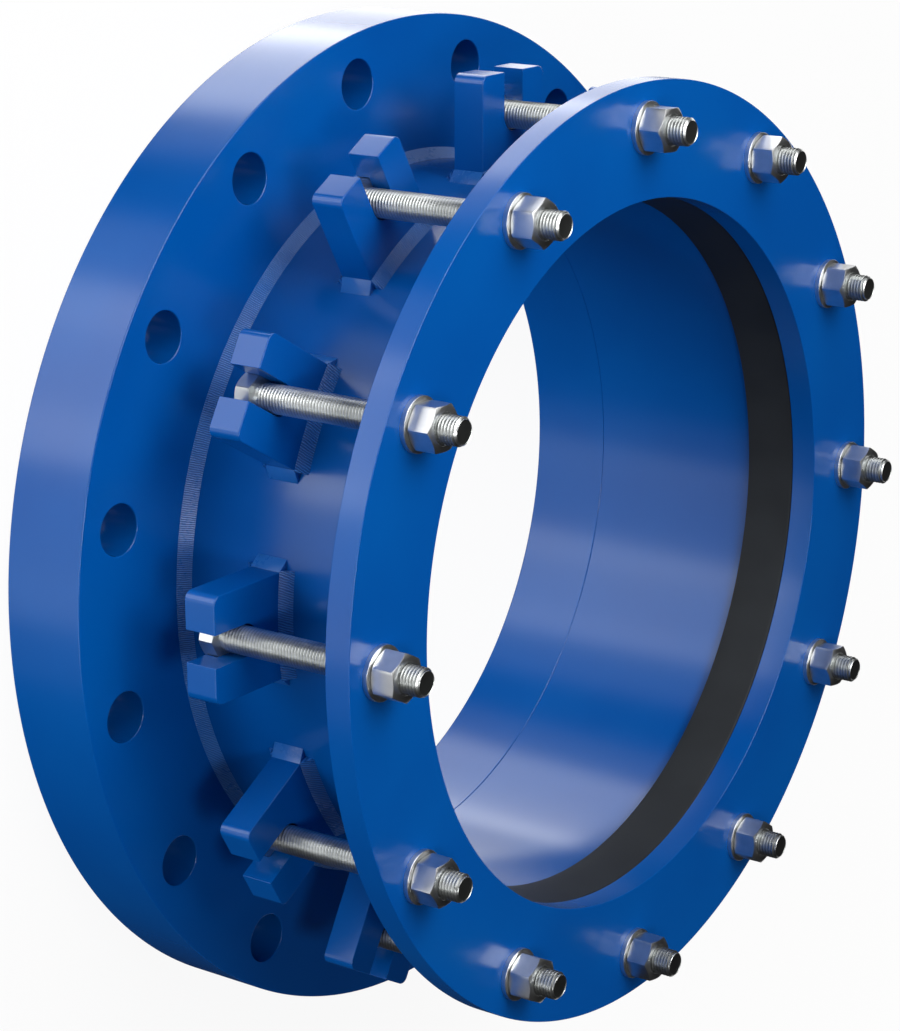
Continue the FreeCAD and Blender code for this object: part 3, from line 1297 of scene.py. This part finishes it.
@dataclass
class Gland:
    """The gland ring and the gasket that it squeezes. Sizes in millimetres.

    Attributes:
        pattern: the ring of gland bolts.
        levels: the shared heights.
        ring_radius: the gland ring's outside.
        ring_bore: the radius of its bore.
        hole_radius: the radius of its holes.
        hole_steps: the sides of each hole.
        edge: the rounding of its edges.
        land: the radius of the gasket's land on the pipe.
        land_length: the land's length.
        tip: the height of the gasket's tip.
        seat: the radius of the gasket inside the sleeve.
        bell: its radius inside the bell.
        heel: its radius outside the bell's rim.
        mouth: the radius of its bore under the gland ring.
        bevel: the bevel at that mouth.
        gasket_edge: the rounding of its edges.
        gasket_steps: its sides.
    """

    pattern: GlandPattern
    levels: Levels
    ring_radius: float = 272.5
    ring_bore: float = 206.3
    hole_radius: float = 9.0
    hole_steps: int = 32
    edge: float = 0.5
    land: float = 203.5
    land_length: float = 10.0
    tip: float = 164.7
    seat: float = 208.7
    bell: float = 219.7
    heel: float = 224.5
    mouth: float = 206.7
    bevel: float = 1.2
    gasket_edge: float = 0.4
    gasket_steps: int = 256

    def ring(self, finish: bpy.types.Material) -> bpy.types.Object:
        """Builds the flat gland ring.

        Args:
            finish: the coating.

        Returns:
            The new piece.
        """
        bm = drilled_plate(self.ring_radius, self.ring_bore, self.levels.ring_back,
                           self.levels.ring_front, self.pattern.centres(), self.hole_radius,
                           self.hole_steps)
        soften(bm, self.edge, 3)
        return keep(bm, "flat_gland_ring", finish, Body.GLAND, ["gland_ring"])

    def gasket(self, finish: bpy.types.Material) -> bpy.types.Object:
        """Builds the wedge gasket.

        Args:
            finish: the rubber.

        Returns:
            The new piece.
        """
        rim, back = self.levels.sleeve_end, self.levels.ring_back
        bm = turned([
            (self.land, self.tip),
            (self.seat, self.tip),
            (self.seat, self.levels.flare_start),
            (self.bell, self.levels.flare_end),
            (self.bell, rim),
            (self.heel, rim),
            (self.heel, back),
            (self.mouth + self.bevel, back),
            (self.mouth, back - self.bevel),
            (self.land, self.tip + self.land_length),
        ], self.gasket_steps)
        soften(bm, self.gasket_edge, 2)
        return keep(bm, "wedge_gasket", finish, Body.SLEEVE, ["gasket"])

    def build(self, coating: bpy.types.Material, rubber: bpy.types.Material) -> None:
        """Builds the ring and the gasket.

        Args:
            coating: the ring's finish.
            rubber: the gasket's finish.
        """
        self.ring(coating)
        self.gasket(rubber)


# ---------------------------------------------------------------- studio


@dataclass(frozen=True)
class Softbox:
    """A rectangular area lamp that looks at the object.

    Attributes:
        name: the lamp's name.
        bearing: where it stands, in degrees about +Z from +X.
        rise: its angle above the mating face's plane, in degrees.
        distance: how far it stands from the object's middle, in metres.
        width: its width, along the horizon, in metres.
        height: its height, in metres.
        brightness: its radiance, where 1 is white.
        diffuse: whether matt surfaces take its light.
        mirrored: whether glossy surfaces show it.
    """

    name: str
    bearing: float
    rise: float
    distance: float
    width: float
    height: float
    brightness: float
    diffuse: bool = True
    mirrored: bool = True

    def build(self, target: Vector) -> None:
        """Places the lamp.

        Args:
            target: the point that it looks at.
        """
        rise = math.radians(self.rise)
        away = Vector((*on_circle(math.cos(rise), self.bearing), math.sin(rise)))
        lamp = bpy.data.lights.new(self.name, "AREA")
        lamp.shape = "RECTANGLE"
        lamp.size = self.width
        lamp.size_y = self.height
        lamp.energy = self.brightness * math.pi * self.width * self.height
        holder = bpy.data.objects.new(self.name, lamp)
        holder.location = target + away * self.distance
        holder.rotation_euler = away.to_track_quat("Z", "Y").to_euler()
        holder.visible_camera = False
        holder.visible_diffuse = self.diffuse
        holder.visible_glossy = self.mirrored
        bpy.context.scene.collection.objects.link(holder)


@dataclass
class Studio:
    """The floor, the world, the lamps and the camera.

    Attributes:
        floor_radius: the floor's radius, in metres.
        floor_height: its height, just under the object, in metres.
        floor_near: how pale the floor is under the object, where 1 is white.
        fade: the distances from the object between which the floor turns white, in metres.
        softboxes: the lamps, from below to above. The low ones are what the upright walls mirror
            to the camera, and those that aren't diffuse are there for reflections alone.
        target: the point that the lamps look at.
        ambient: the dim room's level on matt surfaces.
        gloss_level: the dim room's level in reflections.
        lens: the camera's focal length, in millimetres.
        sensor: its sensor's width, in millimetres.
        camera_place: where the camera stands.
        camera_forward: which way it looks.
        camera_up: which way is up in the photograph.
    """

    floor_radius: float = 9.0
    floor_height: float = -0.0004
    floor_near: float = 0.92
    fade: Point = (0.35, 1.6)
    softboxes: tuple[Softbox, ...] = (
        Softbox("back_low_wide", 27.0, -35.0, 2.2, 1.27, 0.7, 2.1, diffuse=False),
        Softbox("back_low_key", 57.5, -35.0, 2.2, 1.27, 0.7, 3.2, diffuse=False),
        Softbox("back_low_edge", 80.0, -35.0, 2.2, 0.7, 0.7, 0.65),
        Softbox("left_low_edge", 123.0, -35.0, 2.2, 0.8, 0.7, 0.75),
        Softbox("left_low_key", 145.0, -35.0, 2.2, 1.2, 0.7, 2.35),
        Softbox("left_low_wide", 176.0, -35.0, 2.2, 1.4, 0.7, 0.85),
        Softbox("left_low_far", 200.0, -35.0, 2.2, 0.7, 0.7, 0.2),
        Softbox("back_level", 55.0, -10.0, 2.2, 1.9, 0.9, 3.0, diffuse=False),
        Softbox("left_level", 145.0, -10.0, 2.2, 1.9, 0.9, 1.3),
        Softbox("side_level", 190.0, -10.0, 2.2, 0.9, 0.9, 3.0),
        Softbox("far_level", 352.0, 0.0, 2.2, 2.2, 0.9, 2.4, mirrored=False),
        Softbox("far_right", 288.0, 0.0, 2.2, 2.0, 0.9, 1.8, mirrored=False),
        Softbox("far_gloss", 16.0, -8.0, 2.2, 1.2, 0.9, 1.8, diffuse=False),
        Softbox("far_gloss_right", 312.0, -4.0, 2.2, 1.2, 0.8, 0.5, diffuse=False),
        Softbox("top_level", 105.0, 20.0, 2.2, 1.9, 1.0, 1.65),
        Softbox("left_fill", 168.0, -28.0, 2.2, 1.9, 1.3, 1.85, mirrored=False),
        Softbox("front_right", 60.0, 50.0, 2.2, 1.2, 1.2, 0.8),
        Softbox("front_top", 100.0, 50.0, 2.2, 0.8, 0.8, 4.9),
        Softbox("front_left", 125.0, 55.0, 2.2, 0.8, 0.8, 5.4),
        Softbox("front_key", 179.0, 49.0, 2.2, 0.36, 0.36, 24.0),
        Softbox("front_over", 110.0, 70.0, 2.2, 0.9, 0.9, 2.0),
        Softbox("near_top", 90.0, 40.0, 1.0, 0.5, 0.5, 1.8),
        Softbox("near_left", 120.0, 55.0, 1.0, 0.5, 0.5, 1.2),
    )
    target: Vector = field(default_factory=lambda: Vector((0.0, 0.0, 0.12)))
    ambient: float = 0.1
    gloss_level: float = 0.01
    lens: float = 102.967
    sensor: float = 36.0
    camera_place: tuple[float, ...] = (-1.378432, 0.494096, 1.070292)
    camera_forward: tuple[float, ...] = (0.77926, -0.27799, -0.56167)
    camera_up: tuple[float, ...] = (0.22754, 0.96058, -0.15973)

    def floor_finish(self) -> bpy.types.Material:
        """Makes the floor's finish, which glows white to the camera and greys under the object.

        Returns:
            The new material.
        """
        made = bpy.data.materials.new("pale_floor")
        made.use_nodes = True
        tree = made.node_tree
        shader = tree.nodes["Principled BSDF"]
        shader.inputs["Base Color"].default_value = (0.86, 0.86, 0.86, 1.0)
        shader.inputs["Roughness"].default_value = 0.9
        glow = tree.nodes.new("ShaderNodeEmission")
        glow.inputs["Color"].default_value = (1.0, 1.0, 1.0, 1.0)
        ray = tree.nodes.new("ShaderNodeLightPath").outputs
        seen = math_node(tree, "MAXIMUM", ray["Is Camera Ray"], ray["Is Glossy Ray"])
        seen = math_node(tree, "MAXIMUM", seen, ray["Is Transmission Ray"])
        place = tree.nodes.new("ShaderNodeTexCoord")
        reach = tree.nodes.new("ShaderNodeVectorMath")
        reach.operation = "LENGTH"
        tree.links.new(place.outputs["Object"], reach.inputs[0])
        spread = tree.nodes.new("ShaderNodeMapRange")
        feed(tree, spread.inputs["Value"], reach.outputs["Value"])
        feed(tree, spread.inputs["From Min"], self.fade[0])
        feed(tree, spread.inputs["From Max"], self.fade[1])
        feed(tree, spread.inputs["To Min"], self.floor_near)
        feed(tree, spread.inputs["To Max"], 1.0)
        share = math_node(tree, "MULTIPLY", seen, spread.outputs["Result"])
        mix = tree.nodes.new("ShaderNodeMixShader")
        sources = (share, shader.outputs["BSDF"], glow.outputs["Emission"])
        for socket, source in zip(mix.inputs, sources):
            tree.links.new(source, socket)
        tree.links.new(mix.outputs["Shader"], tree.nodes["Material Output"].inputs["Surface"])
        return made

    def floor(self) -> None:
        """Lays the pale floor, which only the camera sees and which keeps the object's shadow."""
        bm = bmesh.new()
        bmesh.ops.create_circle(bm, cap_ends=True, segments=96, radius=self.floor_radius,
                                matrix=Matrix.Translation((0.0, 0.0, self.floor_height)))
        mesh = bpy.data.meshes.new("pale_floor")
        bm.to_mesh(mesh)
        bm.free()
        mesh.materials.append(self.floor_finish())
        piece = bpy.data.objects.new("pale_floor", mesh)
        bpy.context.scene.collection.objects.link(piece)
        for way in ("visible_diffuse", "visible_glossy", "visible_transmission", "visible_shadow"):
            setattr(piece, way, False)

    def world(self) -> None:
        """Makes the world white to the camera and a dim room to everything else."""
        world = bpy.data.worlds.new("studio_room")
        bpy.context.scene.world = world
        world.use_nodes = True
        tree = world.node_tree
        room = tree.nodes["Background"]
        room.inputs["Color"].default_value = (1.0, 1.0, 1.0, 1.0)
        ray = tree.nodes.new("ShaderNodeLightPath").outputs
        gloss = math_node(tree, "MULTIPLY", ray["Is Glossy Ray"], self.gloss_level)
        rest = math_node(tree, "SUBTRACT", 1.0, ray["Is Glossy Ray"])
        dim = math_node(tree, "ADD", gloss, math_node(tree, "MULTIPLY", rest, self.ambient))
        seen = math_node(tree, "MAXIMUM", ray["Is Camera Ray"], ray["Is Transmission Ray"])
        unseen = math_node(tree, "SUBTRACT", 1.0, seen)
        level = math_node(tree, "ADD", seen, math_node(tree, "MULTIPLY", unseen, dim))
        tree.links.new(level, room.inputs["Strength"])

    def camera(self) -> None:
        """Sets the camera where the photograph was taken from."""
        data = bpy.data.cameras.new("photo_camera")
        data.sensor_fit = "AUTO"
        data.sensor_width = self.sensor
        data.lens = self.lens
        data.clip_start, data.clip_end = 0.05, 60.0
        holder = bpy.data.objects.new("photo_camera", data)
        forward = Vector(self.camera_forward).normalized()
        right = forward.cross(Vector(self.camera_up)).normalized()
        turn = Matrix((right, right.cross(forward), -forward)).transposed().to_4x4()
        holder.matrix_world = Matrix.Translation(self.camera_place) @ turn
        bpy.context.scene.collection.objects.link(holder)
        bpy.context.scene.camera = holder

    def build(self) -> None:
        """Sets the whole studio."""
        bpy.context.scene.view_settings.view_transform = "Standard"
        self.floor()
        self.world()
        for softbox in self.softboxes:
            softbox.build(self.target)
        self.camera()


# ---------------------------------------------------------------- the whole object


def main() -> None:
    """Builds the object's classes in order, then the studio."""
    logging.basicConfig(level=logging.INFO, format="%(name)s %(message)s")
    group = make_cloud_group()
    coating = BLUE_COATING.material(group)
    weld = BLUE_WELD.material(group, make_ripple_group())
    levels, pattern = Levels(), GlandPattern()
    Barrel(levels).build(coating, weld)
    ForkLugs(pattern, levels).build(coating, weld)
    Gland(pattern, levels).build(coating, GASKET_RUBBER.material(group))
    metals = [metal.material(group) for metal in (BRIGHT_ZINC, NUT_ZINC, WASHER_ZINC)]
    Fasteners(pattern, levels).build(*metals)
    Studio().build()


if __name__ == "__main__":
    main()
